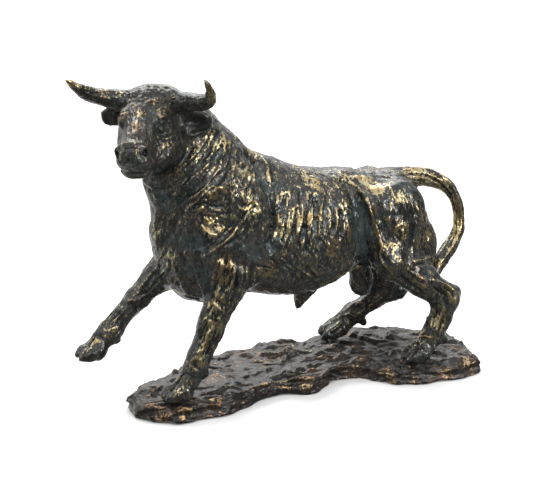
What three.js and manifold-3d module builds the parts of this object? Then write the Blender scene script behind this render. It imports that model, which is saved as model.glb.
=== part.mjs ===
// A cast bull figurine striding over a slab of rock.
// Millimetres, +Z up. The bull faces -X, its left flank is at -Y, and the slab stands on z = 0.
// The flesh is modelled as muscles that melt into each other, and one skin is drawn over them.
import * as THREE from "three";
import { mergeVertices } from "three/addons/utils/BufferGeometryUtils.js";
import Module from "manifold-3d";

const wasm = await Module();
wasm.setup();

// Driving dimensions
const SLAB_TOP = 12; // height of the rock where the hooves stand
const SLAB_BOTTOM = -4; // where the rock ends before it is cut off flat at z = 0
const HOOF_GAP = 0.35; // between the hooves and the rock under them
const WITHERS = 167; // height of the shoulders over the ground
const BACK = 149; // height of the back over the ground
const HEAD_AT = [-109.5, -20, 196.5]; // the point between the eyes, inside the skull
const HEAD_TURN = 54; // degrees that the head looks to its left
const HEAD_BOW = 18; // degrees that the nose points down
const NOSE_SWING = 0.07; // how far the nose strays to the left for each millimetre of its length
const CELL = 2.3; // size of the cells in which the skin is first drawn
const BULL_FACES = 8000; // triangles left in the skin of the bull
const SLAB_FACES = 1600; // triangles left in the slab

// Forms. A form is a function of x, y and z that gives the distance to its surface, negative inside.

// An ellipsoid with half axes "half" at "at", turned by degrees about X, Y and Z.
function egg(at, half, turn = [0, 0, 0]) {
  const angles = turn.map((degrees) => THREE.MathUtils.degToRad(degrees));
  const m = new THREE.Matrix4().makeRotationFromEuler(new THREE.Euler(...angles)).elements;
  const [a, b, c] = half;
  return (x, y, z) => {
    const dx = x - at[0];
    const dy = y - at[1];
    const dz = z - at[2];
    const u = (m[0] * dx + m[1] * dy + m[2] * dz) / a;
    const v = (m[4] * dx + m[5] * dy + m[6] * dz) / b;
    const w = (m[8] * dx + m[9] * dy + m[10] * dz) / c;
    const near = Math.sqrt(u * u + v * v + w * w);
    const slope = Math.sqrt((u * u) / (a * a) + (v * v) / (b * b) + (w * w) / (c * c));
    return slope < 1e-9 ? -Math.min(a, b, c) : (near * (near - 1)) / slope;
  };
}

// A rod from one [x, y, z, radius] to the next, its radius changing evenly.
function rod([ax, ay, az, ar], [bx, by, bz, br]) {
  const dx = bx - ax;
  const dy = by - ay;
  const dz = bz - az;
  const length2 = dx * dx + dy * dy + dz * dz;
  return (x, y, z) => {
    const along = ((x - ax) * dx + (y - ay) * dy + (z - az) * dz) / length2;
    const t = Math.min(1, Math.max(0, along));
    const ex = x - ax - dx * t;
    const ey = y - ay - dy * t;
    const ez = z - az - dz * t;
    return Math.sqrt(ex * ex + ey * ey + ez * ez) - ar - (br - ar) * t;
  };
}

// Forms melted together over a fillet "soft" millimetres wide.
function melt(soft, ...forms) {
  return (x, y, z) => {
    let d = forms[0](x, y, z);
    for (let i = 1; i < forms.length; i++) {
      const e = forms[i](x, y, z);
      const h = Math.max(soft - Math.abs(d - e), 0) / soft;
      d = Math.min(d, e) - h * h * soft * 0.25;
    }
    return d;
  };
}

// A form with a hollow pressed into it, with edges "soft" millimetres wide.
function press(soft, form, tool) {
  return (x, y, z) => {
    const d = form(x, y, z);
    const e = -tool(x, y, z);
    const h = Math.max(soft - Math.abs(d - e), 0) / soft;
    return Math.max(d, e) + h * h * soft * 0.25;
  };
}

// A chain of rods through the stations [x, y, z, radius].
const limb = (soft, ...stations) =>
  melt(soft, ...stations.slice(1).map((station, i) => rod(stations[i], station)));

// The same form on the left (side = -1, -Y) and on the right (side = 1, +Y).
const bothSides = (soft, make) => melt(soft, make(-1), make(1));

// Trunk and neck
function trunk() {
  return melt(
    12,
    egg([-10, 0, 112], [62, 39, 42]), // rib cage
    egg([10, 0, 101], [52, 34, 34.5]), // belly
    limb(10, [-14, 0, 130, 27], [40, 0, BACK - 26, 27], [74, 0, 118, 27]), // loin and croup
    egg([79, 0, 114], [26, 29, 31]), // rump
    egg([-26, 0, WITHERS - 27], [31, 19, 28]), // withers
    egg([-62, 0, 112], [34, 33, 40.5]), // chest
    egg([-64, 0, 88], [20, 17, 15]), // brisket
  );
}

function neck() {
  return melt(
    10,
    limb(12, [-32, 0, 143, 21.5], [-54, 0, 164.5, 21.2], [-73, 1, 189.7, 20.5]), // crest
    limb(12, [-52, 0, 129, 34], [-70, -3, 155, 26], [-84, -3, 182, 21]), // neck
    limb(8, [-99, -8, 159, 7.5], [-89.6, -3, 145, 7.2], [-89.2, 0, 122, 8.2], [-79, 0, 94, 9.5]), // dewlap
  );
}

function shoulders() {
  return bothSides(6, (side) =>
    melt(
      7,
      egg([-42, side * 27, 132], [17, 12, 34], [0, -22, 0]), // shoulder blade
      egg([-61, side * 26, 112], [15, 12, 19]), // point of the shoulder
      egg([-42, side * 29, 102], [20, 12, 17]), // back of the upper arm
    ),
  );
}

function hips() {
  return bothSides(6, (side) =>
    melt(
      6,
      egg([55, side * 25, 130], [9, 8, 8]), // hip bone
      egg([74, side * 24, 112], [23, 15, 33], [0, 10, 0]), // thigh
      egg([91, side * 15, 97], [17, 14, 27], [0, -12, 0]), // buttock
      egg([96, side * 16, 91], [16.5, 13, 21]), // back of the buttock
      egg([67, side * 31, 90], [13, 9, 15]), // stifle
    ),
  );
}

// Strokes on the flanks and the neck, seen from the side: [x, z] along each, its half width and its depth.
// A negative depth is a ridge.
const BODY_STROKES = [
  // behind the shoulder
  { path: [[-37, 172], [-28, 160], [-24, 145], [-26, 127], [-30, 112]], width: 6, depth: 2.6 },
  { path: [[37, 143], [41, 131], [42, 108], [47, 92]], width: 7, depth: 4 }, // before the thigh
  // edge of the thigh
  { path: [[46, 140], [49, 127], [52, 112], [57, 99], [66, 84]], width: 4.5, depth: -2.2 },
  { path: [[78, 122], [77, 106], [74, 90]], width: 5, depth: 2.2 }, // between thigh and buttock
  { path: [[8, 90], [28, 87], [46, 88]], width: 5, depth: -1.4 }, // fold of the flank
  { path: [[-10, 142], [-14, 128], [-12, 108]], width: 4, depth: 1.5 }, // ribs
  { path: [[-1, 142], [-5, 128], [-4, 110]], width: 4, depth: 1.5 },
  { path: [[9, 141], [6, 129], [5, 114]], width: 4, depth: 1.5 },
  { path: [[19, 140], [17, 130], [14, 118]], width: 4, depth: 1.3 },
  { path: [[-76, 190], [-80, 183], [-90, 174]], width: 4, depth: 1.8 }, // folds of the neck
  { path: [[-68, 186], [-73, 174], [-86, 160]], width: 5, depth: 2 },
  { path: [[-58, 178], [-66, 166], [-82, 154], [-92, 138]], width: 5, depth: 2.2 },
  { path: [[-50, 165], [-62, 158], [-74, 147], [-82, 128]], width: 5, depth: -1.8 }, // front of the shoulder
  { path: [[-45, 100], [-58, 108], [-74, 118]], width: 5, depth: 1.8 }, // over the upper arm
];

// A form with strokes pressed into both of its sides.
function carve(form, strokes) {
  const paths = strokes.map(({ path, width, depth }) => ({
    rods: path.slice(1).map(([x, z], i) => rod([path[i][0], 0, path[i][1], 0], [x, 0, z, 0])),
    width,
    depth,
  }));
  return (x, y, z) => {
    const d = form(x, y, z);
    if (Math.abs(d) > 8) return d;
    const outwards = Math.min(1, Math.abs(y) / 12);
    return paths.reduce((sum, { rods, width, depth }) => {
      const away = Math.min(1, Math.min(...rods.map((r) => r(x, 0, z))) / width);
      return sum + depth * outwards * (1 - away * away) ** 2;
    }, d);
  };
}

// Legs. Each is a chain of stations [x, y, z, radius] from the body to the pastern.
const PLANTED_FORELEG = [
  [-50, -28, 96, 13],
  [-58, -28, 80, 9.6],
  [-65.3, -27, 66.5, 8.7],
  [-69.3, -27, 54, 7.5],
  [-75, -27, 43.6, 6.7],
  [-79, -27, 33.3, 6.9],
  [-85, -27, 23, 7.6],
];
const RAISED_FORELEG = [
  [-70, 20, 100, 15.5],
  [-87, 21, 82.6, 10.2],
  [-102.2, 22, 69.6, 7.1],
  [-113.3, 22, 58.8, 5.7],
  [-123, 22, 48, 6.9],
  [-130.6, 22, 41.6, 7],
];
const LEFT_HINDLEG = [
  [68, -31, 92, 13],
  [90, -33, 73, 11.5],
  [112, -33, 56, 9.2],
  [109.3, -33, 43, 6.9],
  [103, -33, 31, 7],
  [97, -33, 22, 7.4],
];
const RIGHT_HINDLEG = [
  [66, 30, 84, 14],
  [86, 31, 63, 11],
  [107, 31, 45, 8.8],
  [89.6, 32, 38.2, 6.8],
  [73.2, 32, 30.2, 6.9],
  [63.5, 32, 23.6, 7.4],
];

function legs() {
  return melt(
    4,
    limb(7, ...PLANTED_FORELEG),
    limb(7, ...RAISED_FORELEG),
    limb(7, ...LEFT_HINDLEG),
    limb(7, ...RIGHT_HINDLEG),
    egg([-68, -27, 60.5], [8.6, 8.6, 8]), // knee of the planted foreleg
    egg([-104.5, 22, 66.8], [7.6, 7.6, 6.6], [0, -45, 0]), // knee of the raised foreleg
    limb(3, [112, -33, 55, 6.4], [121, -33, 60, 4]), // points of the hocks
    limb(3, [108, 31, 44, 6.4], [116, 31, 46, 4]),
  );
}

// Two toes side by side from the pastern at "heel" to the tip at "toe".
function hoof([ax, ay, az], [bx, by, bz], thick) {
  return bothSides(1, (side) =>
    melt(
      2,
      rod([ax, ay + side * 4.4, az, thick], [bx, by + side * 3.6, bz, 2.4]),
      egg([(ax + bx) / 2, ay + side * 5.2, (az + bz) / 2], [thick, 4.6, thick * 0.8]),
    ),
  );
}

// The two small claws at the back of a fetlock.
const dewclaws = (x, y, z) => bothSides(1, (side) => egg([x, y + side * 4.4, z], [3.4, 2.6, 3.4]));

function hooves() {
  return melt(
    1.5,
    hoof([-90, -27, 17], [-102, -27, 13], 6.6),
    hoof([-133, 22, 37], [-146, 22, 33], 6.6),
    hoof([92, -33, 18], [80, -33, 13.5], 6.6),
    hoof([59, 32, 20], [46, 32, 15.5], 6.6),
    dewclaws(-74, -27, 28),
    dewclaws(-119.5, 22, 43),
    dewclaws(110, -33, 25),
    dewclaws(79, 32, 22),
  );
}

// Scrotum and sheath
function underside() {
  const sheath = limb(4, [16, 0, 68, 9], [12, 0, 60, 4.5], [9, 0, 53, 2]);
  return melt(3, egg([61, 0, 66], [9.5, 8.5, 12.5]), egg([58, 0, 78], [8, 7, 9]), sheath);
}

// The head in its own frame: x towards the nose, y to its left, z to the top of the skull.
function head() {
  const skull = melt(
    6,
    egg([-12, 0, 0], [20, 16, 17]), // brain case
    egg([-20, 1, 9.5], [12, 17.5, 11]), // poll
    egg([-19, 13.5, 13], [9, 8.5, 6.5]), // hair at the root of the left horn
    limb(8, [-2, 0, 1, 12.5], [14, 0, 1, 9], [29, 0, 0.5, 8]), // face
    bothSides(6, (side) => egg([-6, side * 11 + 1, -10], [19, 9, 13], [0, 14, 0])), // cheeks
    limb(6, [-10, 0, -16, 11], [12, 0, -13, 9.5], [23, 0, -9, 7.5]), // jaw
  );
  const muzzle = melt(
    3,
    egg([32, 0, -2.5], [7.5, 10, 8]),
    egg([35.5, 0, 3.2], [3.8, 9.4, 5.5], [0, -22, 0]), // nose pad
    bothSides(2, (side) => egg([34.5, side * 8.2, 3.8], [4.4, 3.2, 4.8])), // wings of the nose
    egg([34.3, 0, -5], [5.8, 11.6, 4.8]), // upper lip
    egg([30.3, -0.8, -11.8], [8.5, 10.2, 4.2]), // lower lip
  );
  const brows = bothSides(3, (side) => egg([-1, side * 12.6, 8.8], [7, 3.6, 3], [0, 20, 0]));
  const eyes = bothSides(1, (side) => egg([3, side * 13, 4.2], [3.4, 2.8, 2.6]));
  const sockets = bothSides(1, (side) => egg([9, side * 15.5, 3.5], [8, 4.2, 4.5]));
  const nostrils = bothSides(1, (side) => egg([39.2, side * 8.8, 4.4], [3.4, 2.2, 3.4]));
  const mouth = bothSides(2, (side) =>
    limb(
      2,
      [15, side * 11, -9, 0.9],
      [27, side * 11.5, -9.4, 1.3],
      [36, side * 8.5, -10, 1.4],
      [39, 0, -10, 1.4],
    ),
  );
  const face = press(4, melt(4, skull, muzzle), sockets);
  const straight = melt(2, press(1.5, face, melt(1, nostrils, mouth)), melt(2, brows, eyes));
  return (x, y, z) => straight(x, y - NOSE_SWING * Math.max(0, x), z);
}

// The ears stand out sideways under the horns, open to the front.
function ears() {
  const left = press(
    1,
    melt(2, egg([-20, 28, -5], [4.6, 12.5, 9], [6, 0, 12]), egg([-24, 23, 3], [5, 8, 7])),
    egg([-15, 29, -5], [3.4, 9, 6], [6, 0, 12]),
  );
  const right = press(1, egg([-19, -24, -2.2], [4.4, 10, 7.5], [-8, 0, 14]), egg([-14, -25, -2.2], [3, 6, 5]));
  return melt(1, left, right);
}

// The horns grow sideways and curve up and forward: [x, y, z, radius] in the head's frame.
const LEFT_HORN = [
  [-20, 11, 9, 7.2],
  [-18, 26, 11, 6.4],
  [-11, 37, 14.5, 5.6],
  [-5, 44, 20, 4.6],
  [1, 46.5, 30, 3.1],
  [4.5, 44, 40, 1.5],
];
const RIGHT_HORN = [
  [-20, -11, 8, 7.4],
  [-18, -25, 11, 6.6],
  [-12, -33, 15.9, 5.5],
  [-4, -39.5, 24.2, 4.1],
  [4, -45, 36, 1.4],
];

// The tail leaves the croup, falls in an arc and its tuft rests against the left hock.
const TAIL = [
  [72, 0, 139, 7.8],
  [86, 0, 139.6, 8.4],
  [98, 0, 139, 7.8],
  [108, 0, 138.3, 7],
  [119, 0, 135.3, 6.3],
  [130, -1, 129.2, 5.6],
  [136.8, -2, 120, 4.9],
  [139.8, -3, 110, 4.6],
  [139.2, -5, 99, 4.8],
  [134, -8, 90, 5.1],
  [124.2, -12, 82.4, 6.2],
  [115.4, -17, 76, 5.4],
  [108, -22, 69, 3.8],
];

// The head's own frame in the bull's.
function headMatrix() {
  const turn = THREE.MathUtils.degToRad(HEAD_TURN);
  const bow = THREE.MathUtils.degToRad(HEAD_BOW);
  const nose = new THREE.Vector3(
    -Math.cos(turn) * Math.cos(bow),
    -Math.sin(turn) * Math.cos(bow),
    -Math.sin(bow),
  );
  const left = new THREE.Vector3(Math.sin(turn), -Math.cos(turn), 0);
  const top = new THREE.Vector3().crossVectors(nose, left);
  return new THREE.Matrix4().makeBasis(nose, left, top).setPosition(...HEAD_AT);
}

// A form made in its own frame and then posed: "matrix" takes that frame to the bull's.
function posed(form, matrix) {
  const m = matrix.clone().invert().elements;
  return (x, y, z) =>
    form(
      m[0] * x + m[4] * y + m[8] * z + m[12],
      m[1] * x + m[5] * y + m[9] * z + m[13],
      m[2] * x + m[6] * y + m[10] * z + m[14],
    );
}

// Everything but the horns and the tail, melted into one form.
function flesh() {
  const body = carve(melt(7, melt(10, trunk(), neck()), shoulders(), hips(), legs()), BODY_STROKES);
  return melt(4, melt(1.5, body, hooves(), underside()), posed(melt(2, head(), ears()), headMatrix()));
}

// Skin: the surface where a form is zero, as a closed mesh with one vertex in each cell that it crosses.
function skin(form, low, high, cell) {
  const [nx, ny, nz] = low.map((start, axis) => Math.ceil((high[axis] - start) / cell) + 1);
  const place = (i, axis) => low[axis] + i * cell;
  const at = (i, j, k) => (i * ny + j) * nz + k;
  const value = new Float32Array(nx * ny * nz);
  for (let i = 0; i < nx; i++)
    for (let j = 0; j < ny; j++)
      for (let k = 0; k < nz; k++) value[at(i, j, k)] = form(place(i, 0), place(j, 1), place(k, 2));

  const positions = [];
  const vertexOf = new Int32Array(value.length);
  const corners = [0, 1, 2, 3, 4, 5, 6, 7].map((c) => [c & 1, (c >> 1) & 1, c >> 2]);
  const edges = [];
  for (let a = 0; a < 8; a++) for (const bit of [1, 2, 4]) if (!(a & bit)) edges.push([a, a | bit]);
  for (let i = 0; i < nx - 1; i++)
    for (let j = 0; j < ny - 1; j++)
      for (let k = 0; k < nz - 1; k++) {
        const v = corners.map(([a, b, c]) => value[at(i + a, j + b, k + c)]);
        const crossed = edges.filter(([a, b]) => v[a] < 0 !== v[b] < 0);
        if (!crossed.length) continue;
        const middle = [0, 1, 2].map((axis) => {
          const sum = crossed.reduce((total, [a, b]) => {
            const t = v[a] / (v[a] - v[b]);
            return total + corners[a][axis] + t * (corners[b][axis] - corners[a][axis]);
          }, 0);
          return place([i, j, k][axis], axis) + (cell * sum) / crossed.length;
        });
        vertexOf[at(i, j, k)] = positions.length / 3;
        positions.push(...settle(form, middle, cell / 2));
      }

  const faces = [];
  const addQuad = (a, b, c, d, flip) => faces.push(...(flip ? [a, c, b, a, d, c] : [a, b, c, a, c, d]));
  for (let i = 1; i < nx - 1; i++)
    for (let j = 1; j < ny - 1; j++)
      for (let k = 1; k < nz - 1; k++) {
        const inside = value[at(i, j, k)] < 0;
        const v = (a, b, c) => vertexOf[at(i - a, j - b, k - c)];
        if (inside !== value[at(i + 1, j, k)] < 0)
          addQuad(v(0, 1, 1), v(0, 0, 1), v(0, 0, 0), v(0, 1, 0), !inside);
        if (inside !== value[at(i, j + 1, k)] < 0)
          addQuad(v(1, 0, 1), v(1, 0, 0), v(0, 0, 0), v(0, 0, 1), !inside);
        if (inside !== value[at(i, j, k + 1)] < 0)
          addQuad(v(1, 1, 0), v(0, 1, 0), v(0, 0, 0), v(1, 0, 0), !inside);
      }
  return meshOf(positions, faces);
}

// Moves a point onto the surface of a form, by at most "reach" along each axis.
function settle(form, start, reach) {
  const step = 0.05;
  const p = [...start];
  for (let round = 0; round < 2; round++) {
    const d = form(...p);
    const slope = [
      (form(p[0] + step, p[1], p[2]) - d) / step,
      (form(p[0], p[1] + step, p[2]) - d) / step,
      (form(p[0], p[1], p[2] + step) - d) / step,
    ];
    const steep = slope[0] ** 2 + slope[1] ** 2 + slope[2] ** 2;
    if (steep < 0.1) break;
    for (let axis = 0; axis < 3; axis++) {
      const moved = p[axis] - (d * slope[axis]) / steep;
      p[axis] = Math.min(start[axis] + reach, Math.max(start[axis] - reach, moved));
    }
  }
  return p;
}

function meshOf(positions, faces) {
  return new THREE.BufferGeometry()
    .setAttribute("position", new THREE.Float32BufferAttribute(positions, 3))
    .setIndex(faces);
}

// A tapered tube with closed ends through the stations [x, y, z, radius].
function taperedTube(stations, rings, sides) {
  const path = new THREE.CatmullRomCurve3(stations.map(([x, y, z]) => new THREE.Vector3(x, y, z)));
  const radii = new THREE.SplineCurve(stations.map((station, i) => new THREE.Vector2(i, station[3])));
  const { normals, binormals } = path.computeFrenetFrames(rings, false);
  const positions = [];
  const faces = [];
  for (let i = 0; i <= rings; i++) {
    // The frames are spaced evenly along the tube, and the radii by station.
    const t = path.getUtoTmapping(i / rings);
    const centre = path.getPoint(t);
    const radius = radii.getPoint(t).y;
    for (let j = 0; j < sides; j++) {
      const angle = (2 * Math.PI * j) / sides;
      const p = centre
        .clone()
        .addScaledVector(normals[i], Math.cos(angle) * radius)
        .addScaledVector(binormals[i], Math.sin(angle) * radius);
      positions.push(p.x, p.y, p.z);
      if (i === rings) continue;
      const a = i * sides + j;
      const b = i * sides + ((j + 1) % sides);
      faces.push(a, b, b + sides, a, b + sides, a + sides);
    }
  }
  const last = rings * sides;
  for (let j = 1; j < sides - 1; j++) faces.push(0, j + 1, j, last, last + j, last + j + 1);
  return meshOf(positions, faces);
}

// Thins a closed mesh to "wanted" triangles. The edge whose loss changes the shape least goes first.
// "importance" gives how much a change weighs at a point.
function thin(geometry, wanted, importance = () => 1) {
  const source = geometry.attributes.position;
  const points = [];
  for (let i = 0; i < source.count; i++) points.push(new THREE.Vector3().fromBufferAttribute(source, i));
  const index = geometry.index.array;
  const faces = [];
  for (let i = 0; i < index.length; i += 3) faces.push([index[i], index[i + 1], index[i + 2]]);
  const facesAt = points.map(() => new Set());
  const quadrics = points.map(() => new Float64Array(10));
  const edge1 = new THREE.Vector3();
  const edge2 = new THREE.Vector3();
  const normalOf = (a, b, c) => edge1.subVectors(b, a).cross(edge2.subVectors(c, a)).clone();
  faces.forEach((face, f) => {
    const normal = normalOf(...face.map((v) => points[v]));
    const area = normal.length() / 2;
    if (area > 0) normal.normalize();
    const { x, y, z } = normal;
    const d = -normal.dot(points[face[0]]);
    const terms = [x * x, x * y, x * z, x * d, y * y, y * z, y * d, z * z, z * d, d * d];
    for (const v of face) {
      facesAt[v].add(f);
      terms.forEach((term, i) => (quadrics[v][i] += term * area * importance(points[v])));
    }
  });

  const errorAt = (q, { x, y, z }) =>
    q[0] * x * x + 2 * q[1] * x * y + 2 * q[2] * x * z + 2 * q[3] * x + q[4] * y * y +
    2 * q[5] * y * z + 2 * q[6] * y + q[7] * z * z + 2 * q[8] * z + q[9];
  const matrix = new THREE.Matrix3();
  function bestPoint(q, a, b) {
    const middle = points[a].clone().add(points[b]).multiplyScalar(0.5);
    matrix.set(q[0], q[1], q[2], q[1], q[4], q[5], q[2], q[5], q[7]);
    const size = q[0] + q[4] + q[7];
    if (matrix.determinant() > 1e-4 * size ** 3) {
      const best = new THREE.Vector3(-q[3], -q[6], -q[8]).applyMatrix3(matrix.invert());
      if (best.distanceTo(middle) < 2 * points[a].distanceTo(points[b])) return best;
    }
    return [middle, points[a].clone(), points[b].clone()].reduce((p, o) =>
      errorAt(q, o) < errorAt(q, p) ? o : p,
    );
  }

  // The cheapest edge is kept on top of a heap, and entries that have gone stale are skipped.
  const heap = [];
  const stamp = new Int32Array(points.length);
  function offer(a, b) {
    const q = quadrics[a].map((term, i) => term + quadrics[b][i]);
    const best = bestPoint(q, a, b);
    const spread = 1e-4 * points[a].distanceToSquared(points[b]);
    heap.push({ cost: errorAt(q, best) + spread, a, b, best, stamps: [stamp[a], stamp[b]] });
    let i = heap.length - 1;
    while (i && heap[(i - 1) >> 1].cost > heap[i].cost) {
      const parent = (i - 1) >> 1;
      [heap[i], heap[parent]] = [heap[parent], heap[i]];
      i = parent;
    }
  }
  function cheapest() {
    const top = heap[0];
    const moved = heap.pop();
    if (heap.length) heap[0] = moved;
    for (let i = 0; ; ) {
      let least = i;
      for (const child of [2 * i + 1, 2 * i + 2])
        if (child < heap.length && heap[child].cost < heap[least].cost) least = child;
      if (least === i) return top;
      [heap[i], heap[least]] = [heap[least], heap[i]];
      i = least;
    }
  }
  const neighbours = (v) => new Set([...facesAt[v]].flatMap((f) => faces[f]).filter((w) => w !== v));
  // Whether the faces round "a" keep facing the same way when it moves and the ones at "b" are lost.
  const staysFlat = (a, b, target) =>
    [...facesAt[a]].every((f) => {
      if (faces[f].includes(b)) return true;
      const before = normalOf(...faces[f].map((v) => points[v]));
      const after = normalOf(...faces[f].map((v) => (v === a ? target : points[v])));
      return before.dot(after) > 0.3 * before.length() * after.length() && after.length() > 1e-3;
    });

  points.forEach((_, a) => neighbours(a).forEach((b) => a < b && offer(a, b)));
  let left = faces.length;
  while (left > wanted && heap.length) {
    const { a, b, best, stamps } = cheapest();
    if (stamps[0] !== stamp[a] || stamps[1] !== stamp[b]) continue;
    const around = neighbours(b);
    const shared = [...neighbours(a)].filter((v) => around.has(v));
    if (shared.length !== 2 || !staysFlat(a, b, best) || !staysFlat(b, a, best)) continue;
    points[a].copy(best);
    quadrics[b].forEach((term, i) => (quadrics[a][i] += term));
    for (const f of facesAt[b]) {
      if (faces[f].includes(a)) {
        for (const v of faces[f]) if (v !== b) facesAt[v].delete(f);
        faces[f] = null;
        left--;
      } else {
        faces[f] = faces[f].map((v) => (v === b ? a : v));
        facesAt[a].add(f);
      }
    }
    facesAt[b] = new Set();
    stamp[a]++;
    stamp[b]++;
    for (const v of neighbours(a)) offer(a, v);
  }
  const kept = faces.filter(Boolean);
  const used = [...new Set(kept.flat())];
  const renumbered = new Map(used.map((v, i) => [v, i]));
  return meshOf(
    used.flatMap((v) => points[v].toArray()),
    kept.flat().map((v) => renumbered.get(v)),
  );
}

// Booleans
function solid(geometry) {
  const bare = new THREE.BufferGeometry()
    .setAttribute("position", geometry.attributes.position)
    .setIndex(geometry.index);
  const merged = mergeVertices(bare, 1e-4);
  return new wasm.Manifold(
    new wasm.Mesh({
      numProp: 3,
      vertProperties: merged.attributes.position.array,
      triVerts: new Uint32Array(merged.index.array),
    }),
  );
}

function geometryOf(manifold) {
  const { numProp, numVert, vertProperties, triVerts } = manifold.getMesh();
  const positions = new Float32Array(numVert * 3);
  for (let i = 0; i < numVert; i++)
    positions.set(vertProperties.subarray(i * numProp, i * numProp + 3), i * 3);
  const geometry = meshOf(positions, [...triVerts]);
  geometry.computeVertexNormals();
  return geometry;
}

// The outline of the slab on the ground, [x, y], from its left front corner round by the right.
const SLAB_OUTLINE = [
  [-116, -30],
  [-122, -10],
  [-112, 6],
  [-72, 29],
  [-38, 41],
  [5, 45],
  [60, 46],
  [90, 50],
  [112, 42],
  [127, 25],
  [141.5, 5],
  [140, -28],
  [132, -50],
  [96, -53],
  [68, -47],
  [48, -20.5],
  [30, -20],
  [8, -35],
  [-22, -27],
  [-54, -41],
  [-84, -43],
  [-100, -43],
];

// A mound on the rock behind the left hind hoof.
const MOUND_AT = [137, 3];
const MOUND_SPREAD = 6;
const MOUND_RISE = 4;

// The slab of rock, with a rippled top and ledges round its side.
function rock() {
  const path = new THREE.CatmullRomCurve3(
    SLAB_OUTLINE.map(([x, y]) => new THREE.Vector3(x, y, 0)),
    true,
    "centripetal",
  );
  const outline = path.getPoints(120).slice(1);
  const distance = (x, y) => {
    let nearest = Infinity;
    let inside = false;
    outline.forEach((a, i) => {
      const b = outline[(i + 1) % outline.length];
      const ex = b.x - a.x;
      const ey = b.y - a.y;
      const along = ((x - a.x) * ex + (y - a.y) * ey) / (ex * ex + ey * ey);
      const t = Math.min(1, Math.max(0, along));
      nearest = Math.min(nearest, (x - a.x - ex * t) ** 2 + (y - a.y - ey * t) ** 2);
      if (a.y > y !== b.y > y && x < a.x + (ex * (y - a.y)) / ey) inside = !inside;
    });
    return (inside ? -1 : 1) * Math.sqrt(nearest);
  };
  const known = new Map();
  const edgeAt = (x, y) => {
    const key = x.toFixed(3) + " " + y.toFixed(3);
    if (!known.has(key)) known.set(key, distance(x, y));
    return known.get(key);
  };
  const slab = (x, y, z) => {
    const ledge = 1.4 * Math.sin(z * 0.8 + x * 0.06 - y * 0.05);
    const edge = edgeAt(x, y) + ledge + 1.2 * Math.sin(x * 0.23 + 1) * Math.cos(y * 0.31);
    const ripple = Math.sin(x * 0.16 + y * 0.13) * Math.cos(y * 0.2 - x * 0.06);
    const mound = Math.exp(-((x - MOUND_AT[0]) ** 2 + (y - MOUND_AT[1]) ** 2) / MOUND_SPREAD ** 2);
    const top = z - SLAB_TOP - 1.3 * ripple - MOUND_RISE * mound;
    const round = 5;
    const a = Math.max(edge + round, 0);
    const b = Math.max(top + round, 0);
    const side = Math.sqrt(a * a + b * b) - round + Math.min(Math.max(edge + round, top + round), 0);
    return Math.max(side, SLAB_BOTTOM - z);
  };
  const fissure = limb(2, [-128, -26, 7, 1], [-112, -38, 6, 1.8], [-98, -46, 7.5, 1]);
  return press(1.5, slab, fissure);
}

function slabSolid() {
  const raw = skin(rock(), [-130, -62, -10], [156, 62, 20], 3.2);
  const underground = new THREE.BoxGeometry(400, 200, 40).translate(0, 0, -20);
  return solid(thin(raw, SLAB_FACES)).subtract(solid(underground));
}

function bullSolid(slab) {
  const pose = headMatrix();
  const horns = [LEFT_HORN, RIGHT_HORN].map((horn) => {
    const stations = horn.map(([x, y, z, r]) => [
      ...new THREE.Vector3(x, y, z).applyMatrix4(pose).toArray(),
      r,
    ]);
    return solid(taperedTube(stations, 22, 16));
  });
  const tail = solid(taperedTube(TAIL, 44, 14));
  const raw = solid(skin(flesh(), [-160, -62, 4], [126, 54, 228], CELL));
  const whole = geometryOf(raw.add(horns[0]).add(horns[1]).add(tail));
  // The head, the hooves and the ends of the horns keep the finest triangles.
  const importance = (p) => (p.x < -85 && p.z > 150 ? 6 : p.z < 45 ? 2.5 : 1);
  return solid(thin(whole, BULL_FACES, importance)).subtract(slab.translate(0, 0, HOOF_GAP));
}

const bronze = new THREE.MeshStandardMaterial({ color: 0x3a3a34, metalness: 0.8, roughness: 0.45 });
const brownBronze = new THREE.MeshStandardMaterial({ color: 0x3b3029, metalness: 0.6, roughness: 0.55 });

function named(name, manifold, material) {
  const mesh = new THREE.Mesh(geometryOf(manifold), material);
  mesh.name = name;
  return mesh;
}

const slab = slabSolid();
const pieces = new THREE.Group();
pieces.add(named("rock_base", slab, brownBronze), named("bull", bullSolid(slab), bronze));

// The origin of the figurine is under the middle of the box that holds it.
const box = new THREE.Box3().setFromObject(pieces, true);
const middle = box.getCenter(new THREE.Vector3());
pieces.position.set(-middle.x, -middle.y, -box.min.z);
const figurine = new THREE.Group();
figurine.add(pieces);

export default figurine;
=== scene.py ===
"""A cast bull on a slab of rock: the modeller's work in hide and rock, the patina and the studio."""

import math

import bmesh
import bpy
import numpy as np
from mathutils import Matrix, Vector
from mathutils.bvhtree import BVHTree


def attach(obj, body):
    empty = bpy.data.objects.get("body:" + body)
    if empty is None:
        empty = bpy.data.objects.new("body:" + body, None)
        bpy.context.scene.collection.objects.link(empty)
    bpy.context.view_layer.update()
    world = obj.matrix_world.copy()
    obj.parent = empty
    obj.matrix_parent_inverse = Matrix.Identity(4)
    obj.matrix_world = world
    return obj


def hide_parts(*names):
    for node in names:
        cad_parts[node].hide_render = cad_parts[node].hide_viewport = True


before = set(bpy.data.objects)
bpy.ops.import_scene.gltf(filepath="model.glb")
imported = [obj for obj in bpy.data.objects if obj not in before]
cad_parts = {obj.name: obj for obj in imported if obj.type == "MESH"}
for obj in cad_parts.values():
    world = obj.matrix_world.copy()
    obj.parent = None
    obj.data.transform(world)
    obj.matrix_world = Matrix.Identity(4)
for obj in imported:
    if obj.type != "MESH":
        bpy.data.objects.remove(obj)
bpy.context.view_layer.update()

MM = 0.001
MIDDLE_Y = 4.57  # where the plane through the bull's spine lies, in mm

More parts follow.
